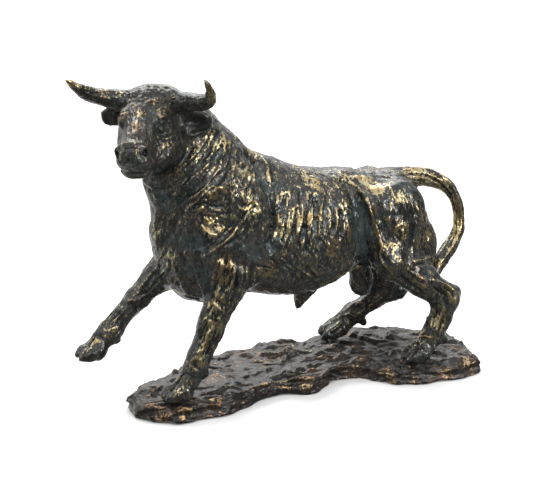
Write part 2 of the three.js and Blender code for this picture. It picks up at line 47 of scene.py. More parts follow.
# The camera stands off the bull's left shoulder. Lengths are in mm.
AZIMUTH = math.radians(-25)
ELEVATION = math.radians(17)
DISTANCE = 1000  # from the camera to what it looks at
LOOKS_AT = (5.32, 29.5, 90)
PICTURE = (540, 500)  # points across and down
FOCAL = 1400  # focal length in points of the picture
SENSOR = 36
CURVE_STEP = 3.0  # points of the picture between the points of a curve

# Directions to the right, to the top and towards the viewer of the picture
LEVEL = math.cos(ELEVATION)
RIGHT = Vector((math.cos(AZIMUTH), math.sin(AZIMUTH), 0))
TOWARDS = Vector((math.sin(AZIMUTH) * LEVEL, -math.cos(AZIMUTH) * LEVEL, math.sin(ELEVATION)))
UP = TOWARDS.cross(RIGHT)
EYE = Vector(LOOKS_AT) + TOWARDS * DISTANCE


# The modeller's work: noise, and strokes drawn as the camera sees them

SCRAMBLE = (374761393, 668265263, 2147483647, 1274126177)  # they mix up a cell's place and seed
STIR = 1103515245
LOW_BITS = 0xFFFF
DRIFT = 6  # mm that the pattern of the clay strays from its place at most
EASING = 14  # rounds of averaging that level a stroke


def noise(points, seed):
    """Smooth noise from -1 to 1, with a cell to each unit of the points."""
    cell = np.floor(points).astype(np.int64)
    part = points - cell
    blend = part * part * (3 - 2 * part)
    total = np.zeros(len(points))
    for corner in np.ndindex(2, 2, 2):
        x, y, z = (cell + corner).T
        mixed = x * SCRAMBLE[0] + y * SCRAMBLE[1] + z * SCRAMBLE[2] + seed * SCRAMBLE[3]
        mixed = (mixed ^ (mixed >> 13)) * STIR
        mixed = (mixed ^ (mixed >> 16)) & LOW_BITS
        weight = np.prod(np.where(corner, blend, 1 - blend), axis=1)
        total += weight * (mixed / (LOW_BITS / 2) - 1)
    return total


def layered(points, seed):
    """Noise with a layer of finer and weaker noise on top."""
    return noise(points, seed) + 0.55 * noise(points * 2.1, seed + 1)


def cells(points, *size):
    """Points counted in cells of a size in mm, so that noise on them is drawn out along an axis."""
    return points * [1 / side for side in size]


def drifting(points, cell, seed):
    """How far points stray, so that a pattern on them isn't regular."""
    return np.stack([noise(points / cell, seed + axis) for axis in range(3)], axis=1) * DRIFT


def rising(values, low, high):
    """0 at and below low, 1 at and above high."""
    return np.clip((values - low) / (high - low), 0, 1)


def nearness(points, place, radius):
    """1 at a place, falling smoothly to 0 at a radius from it."""
    share = np.linalg.norm(points - place, axis=1) / radius
    return (1 - np.clip(share, 0, 1) ** 2) ** 2


def crest(share):
    """1 on the crest of a stroke, falling to 0 at its edge, sharp on top."""
    return (1 - np.clip(share, 0, 1)) ** 1.5


def off_line(points, line):
    """How far points are from a line, and how far along it, from 0 to 1."""
    if len(line) == 1:
        return np.linalg.norm(points - line[0], axis=1), np.full(len(points), 0.5)
    ways = np.diff(line, axis=0)
    leads = points[:, None] - line[:-1]
    parts = np.clip((leads * ways).sum(2) / ((ways**2).sum(1) + 1e-9), 0, 1)
    gaps = np.linalg.norm(leads - parts[..., None] * ways, axis=2)
    each, nearest = np.arange(len(points)), gaps.argmin(1)
    return gaps[each, nearest], (nearest + parts[each, nearest]) / len(ways)


def curve_through(points):
    """Points on a smooth curve through the given ones."""
    points = np.array(points, float)
    if len(points) == 1:
        return points
    ends = np.vstack([2 * points[0] - points[1], points, 2 * points[-1] - points[-2]])
    line = []
    for a, b, c, d in zip(ends, ends[1:], ends[2:], ends[3:]):
        steps = max(2, int(np.linalg.norm(c - b) / CURVE_STEP))
        for t in np.linspace(0, 1, steps, endpoint=False):
            square = (2 * a - 5 * b + 4 * c - d) * t**2
            cube = (3 * b - a - 3 * c + d) * t**3
            line.append(0.5 * (2 * b + (c - a) * t + square + cube))
    return np.array(line + [points[-1]])


def read(items, name, width, kind=np.float32):
    """A row of numbers from each vertex, edge or normal of a mesh."""
    flat = np.empty(len(items) * width, kind)
    items.foreach_get(name, flat)
    return flat.reshape(-1, width)


class Clay:
    """The skin of a piece in mm, worked on along its normals. Strokes are placed on the plain skin."""

    def __init__(self, piece):
        self.mesh = piece.data
        count = len(self.mesh.vertices)
        self.points = read(self.mesh.vertices, "co", 3).astype(float) / MM
        self.ends = read(self.mesh.edges, "vertices", 2, np.int32).T
        self.links = np.bincount(self.ends.ravel(), minlength=count)
        self.tree = BVHTree.FromObject(piece, bpy.context.evaluated_depsgraph_get())
        self.rise = np.zeros(count)
        self.worked = np.zeros(count)
        self.cut = np.zeros(count)
        self.uneven = 1 + 0.35 * noise(self.points / 5.0, 6)  # how strong strokes come out here and there
        self.settle()

    def settle(self):
        """Moves the skin by what was raised and cut away, and reads how it faces now."""
        self.rise -= self.cut
        if self.rise.any():
            self.points += self.normals * self.rise[:, None]
        self.worked += self.rise
        self.rise[:] = 0
        self.cut[:] = 0
        self.order = self.points[:, 0].argsort()
        self.mesh.vertices.foreach_set("co", (self.points * MM).astype(np.float32).ravel())
        self.mesh.update()
        self.normals = read(self.mesh.vertex_normals, "vector", 3).astype(float)

    def eased(self, values, rounds):
        """Values averaged with their neighbours', round after round."""
        a, b = self.ends
        columns = values.reshape(len(values), -1).T.copy()
        for _ in range(rounds):
            for column in columns:
                total = np.bincount(a, column[b], len(column)) + np.bincount(b, column[a], len(column))
                column[:] = (column + total / self.links) / 2
        return columns.T.reshape(values.shape)

    def under(self, px, py):
        """The point of the skin that the camera sees at a point of its picture, or the nearest to that."""
        ray = RIGHT * ((px - PICTURE[0] / 2) / FOCAL) + UP * ((PICTURE[1] / 2 - py) / FOCAL) - TOWARDS
        hit = self.tree.ray_cast(EYE * MM, ray.normalized())[0]
        if hit is None:
            hit = self.tree.find_nearest((EYE + ray * DISTANCE) * MM)[0]
        return np.array(hit) / MM

    def lines(self, path, mirrored):
        """The line of a stroke on the skin, and its twin on the other flank."""
        line = np.array([self.under(*p) for p in curve_through(path)])
        if not mirrored:
            return [line]
        twin = [self.tree.find_nearest(Vector((x, 2 * MIDDLE_Y - y, z)) * MM)[0] for x, y, z in line]
        return [line, np.array(twin) / MM]

    def beside(self, line, width):
        """The points near a line, their distances in widths, and how much of the stroke its ends leave."""
        low, high = line.min(0) - width, line.max(0) + width
        start, end = np.searchsorted(self.points[:, 0], (low[0], high[0]), sorter=self.order)
        near = self.order[start:end]
        near = near[((self.points[near] > low) & (self.points[near] < high)).all(1)]
        gaps, along = off_line(self.points[near], line)
        taper = 1 - (2 * along - 1) ** 4 if len(line) > 1 else 1
        return near, gaps / width, taper

    def raise_along(self, line, width, height):
        """Lays a ridge on, or presses a groove in where the height is negative."""
        near, share, taper = self.beside(line, width)
        self.rise[near] += height * crest(share) * taper * self.uneven[near]

    def scoop_along(self, line, width, depth):
        """Cuts a round-bottomed groove, which leaves a crisp edge where it meets another."""
        near, share, taper = self.beside(line, width)
        bottom = depth * (1 - share**2) * taper * self.uneven[near]
        self.cut[near] = np.maximum(self.cut[near], bottom)

    def stroke(self, path, width, height, mirrored=False):
        """A ridge or groove along a path in the picture."""
        for line in self.lines(path, mirrored):
            self.raise_along(line, width, height)

    def worked_high(self):
        """How far each point was raised above what lies about it."""
        return self.worked - self.eased(self.worked, EASING)

    def hollows(self, rounds, deepest):
        """How deep each point lies in a hollow, from 0 to 1. More rounds take in wider hollows."""
        depth = ((self.points - self.eased(self.points, rounds)) * self.normals).sum(1)
        return np.clip(-depth, 0, deepest) / deepest

    def keep(self, name, values):
        """Stores a number for every point of the skin, for the material."""
        attribute = self.mesh.attributes.new(name, "FLOAT", "POINT")
        attribute.data.foreach_set("value", values.astype(np.float32))


def apply_modifier(piece, kind, **settings):
    """Adds a modifier with its settings, and applies it."""
    modifier = piece.modifiers.new(kind.title(), kind)
    for key, value in settings.items():
        setattr(modifier, key, value)
    bpy.context.view_layer.objects.active = piece
    bpy.ops.object.modifier_apply(modifier=modifier.name)


def clay_from(node, name, grid):
    """A smooth skin over a copy of a solid, its cells as wide as the grid."""
    bpy.ops.object.select_all(action="DESELECT")
    piece = bpy.data.objects.new(name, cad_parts[node].data.copy())
    bpy.context.scene.collection.objects.link(piece)
    piece.data.materials.clear()
    merged = bmesh.new()
    merged.from_mesh(piece.data)
    bmesh.ops.remove_doubles(merged, verts=merged.verts, dist=0.001 * MM)
    merged.to_mesh(piece.data)
    merged.free()
    for layer in list(piece.data.uv_layers):
        piece.data.uv_layers.remove(layer)
    piece.select_set(True)
    apply_modifier(piece, "SUBSURF", levels=1, render_levels=1)
    apply_modifier(piece, "REMESH", mode="VOXEL", voxel_size=grid * MM)
    apply_modifier(piece, "SMOOTH", factor=0.5, iterations=4)
    return piece


# The bull

BULL_GRID = 0.76
BULL_MARKS = 1500  # strokes of the tool all over the hide
BULL_FACES = 196000  # the triangles that are left of the bull when it is done
HEAD_AT = Vector((-104.2, -15.4, 196.5))  # the point between the eyes, inside the skull
HEAD_FACES = Vector((-0.56, -0.77, 0))  # which way the bull looks
FINE_REACH = 46  # mm of the head's skin that is finer, and how far behind HEAD_AT
FINE_BEHIND = 22
CLEAR_OF_HEAD = 48  # mm from HEAD_AT where the marks of the hide begin
CALM_REACH = 62  # mm from HEAD_AT where the calmer finish of the head ends


def finer_head(piece):
    """Halves the cells of the head, where the detail is finest."""
    bpy.ops.object.mode_set(mode="EDIT")
    skin = bmesh.from_edit_mesh(piece.data)
    skin.select_mode = {"FACE"}
    for face in skin.faces:
        away = face.calc_center_median() / MM - HEAD_AT
        face.select = away.length < FINE_REACH and away.dot(HEAD_FACES) > -FINE_BEHIND
    skin.select_flush(True)
    bmesh.update_edit_mesh(piece.data)
    bpy.ops.mesh.subdivide(number_cuts=1, smoothness=0.5)
    bpy.ops.object.mode_set(mode="OBJECT")


# Folds and ridges of the left flank, repeated on the right one: (path in the picture, width, height), the
# last two in mm. Here and in the tables below, a path of one point is a dab.
FLANK_STROKES = [
    ([(192, 209), (204, 204), (216, 207), (225, 205)], 2.5, -1.8),  # over the point of the shoulder
    ([(199, 224), (208, 233), (218, 236)], 2.5, 1.2),
    ([(238, 218), (229, 228), (220, 237), (213, 246)], 2.5, -2.2),  # before the upper arm
    ([(239, 222), (234, 232), (227, 239), (219, 246), (208, 254), (197, 260)], 2.1, 1.9),
    ([(263, 158), (271, 166), (274, 178), (271, 190)], 2.5, -1.9),  # behind the shoulder
    ([(261, 154), (267, 168), (268, 186)], 2.3, 1.4),
    ([(268, 193), (271, 204), (273, 214), (273, 227), (270, 239), (266, 250)], 2.5, -2.7),
    ([(247, 212), (238, 224), (228, 235), (217, 245)], 1.8, -1.4),
    ([(251, 216), (245, 226), (237, 236)], 1.6, 0.9),
    ([(205, 190), (213, 186), (222, 189), (228, 196)], 2.2, 1.0),  # lump over the point of the shoulder
    ([(206, 200), (214, 203), (223, 200)], 2.0, -1.0),
    ([(203, 214), (211, 212), (222, 214), (231, 212)], 1.8, -0.9),
    ([(246, 200), (257, 203), (261, 213), (259, 218)], 2.1, 0.6),
    ([(252, 164), (254, 177), (252, 186)], 2.3, 1.1),
    ([(298, 206), (295, 224), (291, 241)], 2.3, -2.3),  # between the ribs
    ([(309, 202), (305, 225), (301, 240), (298, 250)], 2.3, -2.4),
    ([(317, 200), (315, 221), (311, 238)], 2.0, -2.2),
    ([(325, 202), (325, 221), (322, 235), (318, 247)], 2.0, -2.0),
    ([(333, 206), (334, 224), (330, 240)], 2.0, -1.8),
    ([(341, 206), (342, 224), (339, 242)], 2.0, -1.4),
    ([(287, 192), (283, 206), (277, 214)], 2.1, -1.6),
    ([(288, 222), (285, 234), (282, 244)], 1.8, -1.4),
    ([(303, 208), (300, 225), (296, 240)], 2.1, 1.4),  # ribs
    ([(313, 203), (311, 224), (308, 242)], 2.0, 1.4),
    ([(321, 203), (320, 221), (317, 238)], 1.9, 1.2),
    ([(329, 204), (330, 221), (326, 239)], 1.9, 1.1),
    ([(337, 208), (338, 222), (335, 238)], 1.9, 0.9),
    ([(291, 205), (288, 222), (284, 237)], 2.3, 1.2),
    ([(356, 202), (358, 218), (359, 236), (362, 254)], 2.3, 1.2),  # folds in the hollow of the flank
    ([(362, 204), (363, 220), (365, 238), (368, 256)], 1.9, -1.1),
    ([(353, 214), (354, 230), (356, 246)], 1.7, -0.9),
    ([(348, 181), (359, 189), (366, 196)], 2.7, 1.4),  # edge of the thigh
    ([(366, 194), (371, 213), (377, 230), (382, 247), (381, 256), (388, 269), (397, 279)], 2.4, 2.3),
    ([(379, 199), (382, 215), (385, 230)], 3.2, -1.1),
    ([(400, 203), (400, 219)], 5.2, -1.1),
    ([(411, 200), (412, 221), (411, 237), (409, 257)], 2.5, -1.8),  # between thigh and buttock
    ([(394, 229), (403, 224), (409, 232)], 2.1, 1.1),
    ([(311, 292), (332, 278), (348, 270), (363, 266), (373, 267), (381, 271)], 2.3, 1.6),  # sheath fold
    ([(216, 197)], 6.0, 0.9),  # lumps and dents
    ([(210, 224)], 9.0, 0.6),
    ([(376, 189)], 6.5, 1.3),
    ([(366, 243)], 5.0, -0.8),
    ([(204, 238)], 9.0, -0.8),
]

# Folds of the neck, throat and brisket, on the left alone
NECK_STROKES = [
    ([(183, 130), (184, 143), (182, 153), (177, 162), (165, 170), (152, 174)], 2.5, -2.0),  # behind the jaw
    ([(188, 145), (184, 157), (178, 165)], 2.1, 1.3),
    ([(211, 127), (203, 142), (194, 155), (184, 165), (174, 176)], 2.3, 1.4),
    ([(205, 126), (197, 141), (189, 152), (180, 163)], 2.1, -1.3),
    ([(219, 130), (212, 145), (204, 158), (194, 170), (180, 186)], 2.3, -1.4),
    ([(221, 128), (225, 143), (222, 158), (217, 172), (206, 186), (190, 202)], 2.5, 1.6),
    ([(232, 138), (233, 152), (228, 168), (219, 182), (203, 196)], 2.5, -1.4),
    ([(171, 254), (173, 266), (180, 280), (187, 292), (200, 298)], 2.7, 1.4),  # brisket
    ([(195, 270), (200, 284), (204, 295)], 1.7, 0.9),
    ([(184, 254), (189, 267), (195, 280)], 4.5, -1.4),  # hollow beside it
    ([(186, 206), (172, 228), (160, 250)], 5.2, -1.6),
    ([(150, 184), (160, 190), (172, 186)], 3.2, -1.2),  # under the throat
    ([(152, 186), (164, 179), (177, 170)], 2.0, 1.2),
    ([(158, 196), (172, 186), (185, 175)], 2.0, -1.2),
    ([(165, 201), (179, 190), (192, 178)], 2.0, 1.2),
    ([(174, 207), (189, 195), (203, 181)], 2.0, -1.2),
    ([(186, 210), (200, 198), (212, 186)], 2.0, 1.1),
    ([(160, 206), (155, 226), (157, 246)], 3.2, 0.9),
]

# The head
HEAD_STROKES = [
    # rim of the nose
    ([(118, 149), (121, 145.5), (131, 144), (141, 144.5), (147, 146), (150, 151), (150, 157)], 1.6, 1.5),
    ([(122, 149.5), (131, 148), (139, 148.5)], 1.6, -0.9),
    ([(144, 150), (146, 153), (145, 157)], 2.8, -3.6),  # nostrils
    ([(117, 150.5), (116, 155), (118, 159)], 2.4, -3.0),
    ([(138, 149), (136.5, 153), (137.5, 158), (142, 161), (147, 160)], 1.5, 1.3),
    ([(121, 150), (122, 155), (121, 161)], 1.5, 1.1),
    ([(128, 156), (128, 166)], 1.4, -1.1),
    ([(119, 165), (130, 166.5), (142, 166.5), (149, 163)], 2.2, 1.0),  # upper lip
    ([(119, 170.5), (125, 171), (131, 171.5), (138, 172.5), (146, 171.5), (153, 168)], 1.4, -2.4),  # mouth
    ([(124, 174), (131, 175), (141, 175.5), (148, 173.5)], 1.6, 1.0),  # lower lip
    ([(149, 157), (152.5, 163), (152, 169)], 1.7, 1.5),  # corner of the mouth
    ([(150, 150), (154, 158), (156, 166)], 1.6, -1.1),
    ([(170, 138), (171, 147), (168, 155), (161, 161), (155, 165)], 1.6, 1.0),  # folds of the cheek
    ([(166, 140), (166.5, 147), (163, 154), (157, 159)], 1.5, -0.9),
    ([(181, 146), (179, 155), (173, 161), (164, 166), (156, 169)], 1.7, 1.1),
    ([(176, 144), (175, 152), (170, 159), (161, 165)], 1.6, -1.3),
    ([(155, 147), (158, 145), (162, 143)], 1.6, 0.8),
    ([(152, 122), (155, 116), (159, 111), (164, 108.5), (169, 110), (172, 114)], 2.8, 2.0),  # brow
    ([(155, 126), (159, 121), (165, 119), (171, 122)], 1.9, -1.6),
    ([(164.5, 125)], 5.0, -1.8),  # eye
    ([(164.5, 125)], 2.0, 1.2),
    ([(158, 127), (160.5, 122.5), (165, 121.3), (170, 124.5)], 1.3, 1.4),  # lids
    ([(158.5, 128), (162, 130), (166, 129.5), (170, 126.5)], 1.3, 1.5),
    ([(157, 133), (162, 134.5), (168, 133.5), (172, 130)], 1.5, -1.2),  # bags
    ([(156, 137), (162, 139), (169, 138), (174, 133)], 1.7, 1.1),
    ([(113.5, 124), (113.5, 117), (115.5, 111), (119, 109)], 2.0, 1.5),  # the far eye
    ([(119, 112), (117.5, 118), (118, 124)], 1.6, -1.5),
    ([(117, 126), (119, 133)], 1.4, 1.1),
    ([(130, 118), (125, 129), (121, 140)], 3.4, -0.6),  # flat sides of the nose
    ([(147, 120), (149, 132), (151, 143)], 3.6, -0.9),
    ([(139, 111), (137, 124), (133, 139)], 3.4, 1.2),  # bridge of the nose
    ([(145, 105), (151, 100.5), (158, 102)], 3.0, 1.4),  # middle of the forehead
    ([(145, 112), (147, 120), (152, 126)], 2.4, -1.0),
    ([(182, 126), (183, 135), (183, 144)], 2.2, -1.8),
    ([(209, 115), (212, 121), (208, 129), (199, 134.5), (188, 136)], 1.5, 1.2),  # rim of the ear
    ([(187, 122), (196, 121), (205, 120)], 7.5, -1.3),
    ([(184, 124), (194, 125), (204, 124)], 1.4, 0.35),
    ([(186, 130), (195, 130), (202, 128)], 1.4, 0.35),
    ([(101, 109), (104, 119), (109, 127)], 1.6, 1.2),
    ([(141, 178), (147, 183), (155, 186), (163, 184)], 3.0, 1.4),  # roll of the throat
    ([(148, 190), (157, 192), (167, 189)], 2.4, -1.4),
]

# Legs, hooves, tail and what hangs under the belly
LIMB_STROKES = [
    ([(217, 262), (214, 280), (210, 298)], 2.2, 1.1),  # near foreleg
    ([(228, 268), (224, 286), (219, 300)], 2.0, -1.4),
    ([(236, 266), (232, 284), (226, 300)], 2.0, 1.1),
    ([(212, 303), (218, 307), (222, 312)], 3.0, 0.9),
    ([(209, 316), (214, 321), (219, 320)], 2.4, -0.7),
    ([(212, 326), (207, 340), (201, 354)], 1.7, 1.0),
    ([(219, 324), (213, 340), (206, 356)], 1.7, -1.6),
    ([(223, 326), (217, 343), (209, 360)], 1.8, 1.1),
    ([(190, 361), (196, 359), (202, 362)], 2.4, 0.7),
    ([(192, 367), (197, 368), (203, 371)], 1.8, -0.7),
    ([(184, 373), (176, 384), (168, 394)], 1.4, -2.4),  # cleft of the hoof
    ([(178, 372), (187, 374), (196, 379)], 1.6, -0.9),
    ([(176, 375), (171, 382)], 1.4, 1.0),
    ([(156, 268), (146, 280), (136, 292)], 2.0, 1.1),  # far foreleg
    ([(163, 274), (153, 286), (143, 296)], 1.8, -1.3),
    ([(127, 302), (133, 300), (137, 305)], 2.0, 1.3),
    ([(122, 310), (113, 319), (105, 327)], 1.5, -1.3),
    ([(117, 308), (108, 317), (101, 325)], 1.5, 1.0),
    ([(95, 336), (88, 347), (80, 359)], 1.3, -2.4),
    ([(92, 334), (100, 337), (106, 343)], 1.6, -0.8),
    ([(406, 268), (417, 276), (428, 282)], 2.2, 1.1),  # near hind leg
    ([(400, 276), (411, 285), (423, 292)], 2.0, -1.3),
    ([(430, 279), (441, 283), (450, 289), (456, 297), (453, 306)], 2.0, 1.9),
    ([(432, 286), (440, 291), (445, 299), (443, 309)], 2.0, -1.9),
    ([(444, 306), (440, 320), (435, 334)], 1.7, 1.1),
    ([(437, 308), (433, 322), (428, 336)], 1.5, -1.4),
    ([(430, 308), (427, 321), (423, 333)], 1.7, 1.1),
    ([(418, 338), (426, 336), (434, 340)], 1.8, 1.3),
    ([(419, 342), (412, 350), (406, 357)], 1.4, -2.4),
    ([(412, 341), (420, 345), (428, 352)], 1.5, -1.4),
    ([(384, 296), (370, 305), (357, 314)], 1.9, 1.0),  # far hind leg
    ([(378, 306), (366, 314), (354, 321)], 1.7, -1.3),
    ([(343, 316), (350, 314), (356, 318)], 1.8, 1.1),
    ([(346, 322), (337, 329), (329, 335)], 1.3, -2.1),
    ([(400, 176), (414, 174), (428, 176), (441, 184), (451, 197), (455, 213)], 1.9, -1.6),  # tail
    ([(400, 170), (418, 168), (436, 172), (450, 183), (459, 200), (461, 218)], 1.8, 1.0),
    ([(454, 226), (449, 240), (440, 254)], 1.4, -1.3),
    ([(459, 228), (454, 243), (445, 257), (438, 265)], 1.4, 1.0),
    ([(450, 236), (443, 249), (436, 258)], 1.4, 1.0),
    ([(352, 276), (358, 286), (362, 294)], 2.4, 1.0),  # scrotum
    ([(360, 272), (366, 282), (369, 292)], 1.8, -1.4),
    ([(297, 297), (299, 303)], 2.6, 0.8),  # sheath
    ([(410, 261), (419, 260.5), (428, 258), (432, 256)], 1.8, 1.2),  # upper end of the gaskin
    ([(412, 265), (422, 264), (430, 262)], 1.8, -1.4),
    ([(438, 282), (446, 286), (453, 293), (454, 300), (451, 309)], 1.4, 1.4),  # tendon before the hock
    ([(439, 287), (445, 293), (448, 301), (445, 309)], 2.8, -2.4),
    ([(444, 314), (442, 324), (438, 335)], 1.4, -1.3),
    ([(436, 340), (439, 345), (437, 350)], 2.4, -1.8),  # hollow behind the fetlock
    ([(222, 258), (220, 270), (217, 284)], 1.6, 0.9),  # copper streaks at the top of the forearm
    ([(226, 256), (225, 268), (222, 282)], 1.4, -0.8),
    ([(230, 256), (230, 268), (227, 282)], 1.6, 0.9),
    ([(245, 264), (246, 277), (242, 292), (237, 306)], 2.0, 1.2),
    ([(251, 262), (252, 278), (248, 294)], 2.6, -1.5),
    ([(236, 262), (237, 276), (235, 290), (230, 308)], 1.6, -1.4),
    ([(241, 264), (242, 278), (239, 292)], 1.6, 1.0),
    ([(216, 318), (221, 322), (219, 329), (213, 331)], 1.8, 0.8),  # swirl of the knee
    ([(147, 301), (134, 311), (124, 323), (119, 334)], 1.6, -1.4),
    ([(128, 306), (118, 316), (107, 326)], 1.8, 1.2),
    ([(164, 262), (156, 272), (146, 284)], 2.6, -0.8),
    ([(402, 182), (416, 182), (428, 186), (438, 194)], 1.8, 0.9),  # under the tail
]

# The tool's short strokes, patch by patch. A patch is (place, reach across, reach down, lean in degrees,
# length, width, height, how many). Place, reaches and length are in points of the picture. A stroke that
# leans 0 degrees runs down the picture, and one that leans 90 runs to its right.
NEAR_PATCHES = [
    ((206, 158), 26, 30, -32, 18, 1.3, 0.7, 66),  # neck
    ((232, 152), 12, 18, -12, 10, 1.5, 0.6, 24),
    ((185, 200), 22, 16, -42, 18, 1.3, 0.7, 32),
    ((168, 250), 18, 44, -18, 20, 1.4, 0.6, 44),  # chest
    ((150, 95), 27, 10, 10, 4, 0.9, 0.5, 130),  # curls of the poll
    ((150, 95), 27, 10, 80, 4, 0.9, 0.5, 110),
    ((137, 124), 9, 18, 8, 9, 0.9, 0.5, 40),  # nose
    ((155, 140), 12, 10, 20, 8, 0.9, 0.45, 30),
    ((168, 145), 12, 16, -25, 11, 0.9, 0.5, 44),  # cheek
    ((130, 158), 14, 8, 30, 4, 0.9, 0.3, 30),  # muzzle
    ((112, 98), 14, 6, 80, 10, 0.9, 0.25, 12),  # horns
    ((90, 92), 18, 7, 80, 12, 0.9, 0.25, 12),
    ((195, 101), 14, 6, 95, 12, 0.9, 0.25, 12),
    ((222, 285), 10, 28, -14, 14, 1.0, 0.7, 80),  # near foreleg
    ((208, 336), 9, 28, -22, 12, 1.0, 0.7, 70),
    ((150, 282), 13, 18, -42, 16, 1.1, 0.5, 30),  # far foreleg
    ((114, 318), 12, 16, -48, 16, 1.0, 0.5, 24),
    ((434, 320), 9, 22, -18, 15, 1.0, 0.5, 34),  # hind cannon
    ((370, 308), 20, 10, -62, 10, 1.2, 0.45, 18),
    ((425, 176), 24, 8, 84, 24, 0.9, 0.35, 30),  # tail
    ((457, 210), 7, 24, 5, 24, 0.9, 0.35, 26),
    ((447, 250), 9, 16, -38, 22, 0.9, 0.35, 30),
    ((362, 283), 11, 14, 10, 8, 1.3, 0.4, 12),  # scrotum
    ((211, 221), 12, 12, 50, 7, 1.2, 0.65, 40),  # crinkles over the point of the shoulder
]

# These are repeated on the right flank
FLANK_PATCHES = [
    ((246, 170), 14, 16, -16, 10, 1.5, 0.6, 26),  # shoulder
    ((222, 205), 26, 12, 62, 10, 1.6, 0.6, 30),
    ((246, 208), 12, 24, -20, 14, 1.3, 0.6, 30),
    ((222, 234), 16, 12, -48, 12, 1.5, 0.55, 20),
    ((308, 222), 38, 28, -8, 22, 1.1, 0.7, 90),  # ribs
    ((280, 210), 10, 28, -8, 18, 1.2, 0.7, 26),
    ((312, 178), 44, 12, 66, 16, 1.3, 0.4, 46),  # back
    ((370, 178), 30, 10, 60, 16, 1.3, 0.4, 26),
    ((292, 266), 32, 14, 52, 15, 1.3, 0.65, 40),  # belly
    ((332, 252), 26, 16, 30, 14, 1.3, 0.65, 24),
    ((394, 215), 18, 28, 12, 18, 1.3, 0.6, 50),  # thigh
    ((392, 250), 14, 16, 24, 10, 1.5, 0.55, 18),
    ((424, 226), 13, 34, 14, 18, 1.3, 0.7, 44),  # buttock
    ((414, 275), 20, 12, 58, 11, 1.4, 0.5, 24),
]

SCOOPS = 0.72  # the share of the tool's marks that are scoops
HALF_LENGTH = (0.3, 0.65)  # half of the shortest and of the longest mark, for a stated length of 1
LEAN_SPREAD = 10  # degrees, how unevenly the marks lean
FLOW_SPREAD = 0.25  # how unevenly they follow the flow, whose length is about 1


def tool_mark(clay, line, width, height, chance):
    """A scoop of the tool in most cases, or a ridge of clay."""
    if chance.random() < SCOOPS:
        clay.scoop_along(line, width * chance.uniform(1.0, 1.7), height * chance.uniform(0.6, 1.7))
    else:
        clay.raise_along(line, width * chance.uniform(0.7, 1.2), height * chance.uniform(0.6, 1.5))


def comb(clay, patches, chance, mirrored=False):
    """Marks of the tool, strewn over patches of the picture."""
    for (x, y), across, down, lean, length, width, height, count in patches:
        for _ in range(count):
            turn, reach = chance.uniform(0, 2 * math.pi), math.sqrt(chance.random())
            middle = np.array((x + across * reach * math.cos(turn), y + down * reach * math.sin(turn)))
            way = math.radians(lean + chance.normal(0, LEAN_SPREAD))
            half = np.array((math.sin(way), math.cos(way))) * length * chance.uniform(*HALF_LENGTH)
            bow = np.array((half[1], -half[0])) * chance.uniform(-0.25, 0.25)
            for line in clay.lines([middle - half, middle + bow, middle + half], mirrored):
                tool_mark(clay, line, width, height, chance)


def cover(clay, places, flow, length, width, height, chance):
    """Marks of the tool at places of the skin, along the flow of the surface there."""
    for place in places:
        normal = clay.normals[place]
        way = flow(clay.points[place]) + chance.normal(0, FLOW_SPREAD, 3)
        way -= normal * (way @ normal)
        way /= np.linalg.norm(way) + 1e-9
        half = way * length * chance.uniform(*HALF_LENGTH)
        bow = np.cross(normal, half) * chance.uniform(-0.3, 0.3)
        middle = clay.points[place]
        bend = half * 0.45
        line = np.array([middle - half, middle - bend + bow, middle + bend + bow, middle + half])
        tool_mark(clay, line, width, height, chance)


def hide_flow(point):
    """Which way the marks of the hide run: down and a little towards the tail, wherever they are."""
    return np.array((0.45, 0, -1))


def bull():
    """The strokes that give the forms, then the marks of the tool, then the uneven hide."""
    piece = clay_from("bull", "bull_figure", BULL_GRID)
    finer_head(piece)
    clay = Clay(piece)
    for stroke in FLANK_STROKES:
        clay.stroke(*stroke, mirrored=True)
    for stroke in NECK_STROKES + HEAD_STROKES + LIMB_STROKES:
        clay.stroke(*stroke)
    clay.settle()
    chance = np.random.default_rng(3)
    comb(clay, FLANK_PATCHES, chance, mirrored=True)
    comb(clay, NEAR_PATCHES, chance)
    behind = np.linalg.norm(clay.points - HEAD_AT, axis=1) > CLEAR_OF_HEAD
    places = chance.choice(np.flatnonzero(behind), BULL_MARKS, replace=False)
    cover(clay, places, hide_flow, length=9, width=1.6, height=0.35, chance=chance)
    hide(clay)
    keep_hide(clay)
    triangles = sum(len(face.vertices) - 2 for face in piece.data.polygons)
    apply_modifier(piece, "DECIMATE", ratio=BULL_FACES / triangles)
    return piece


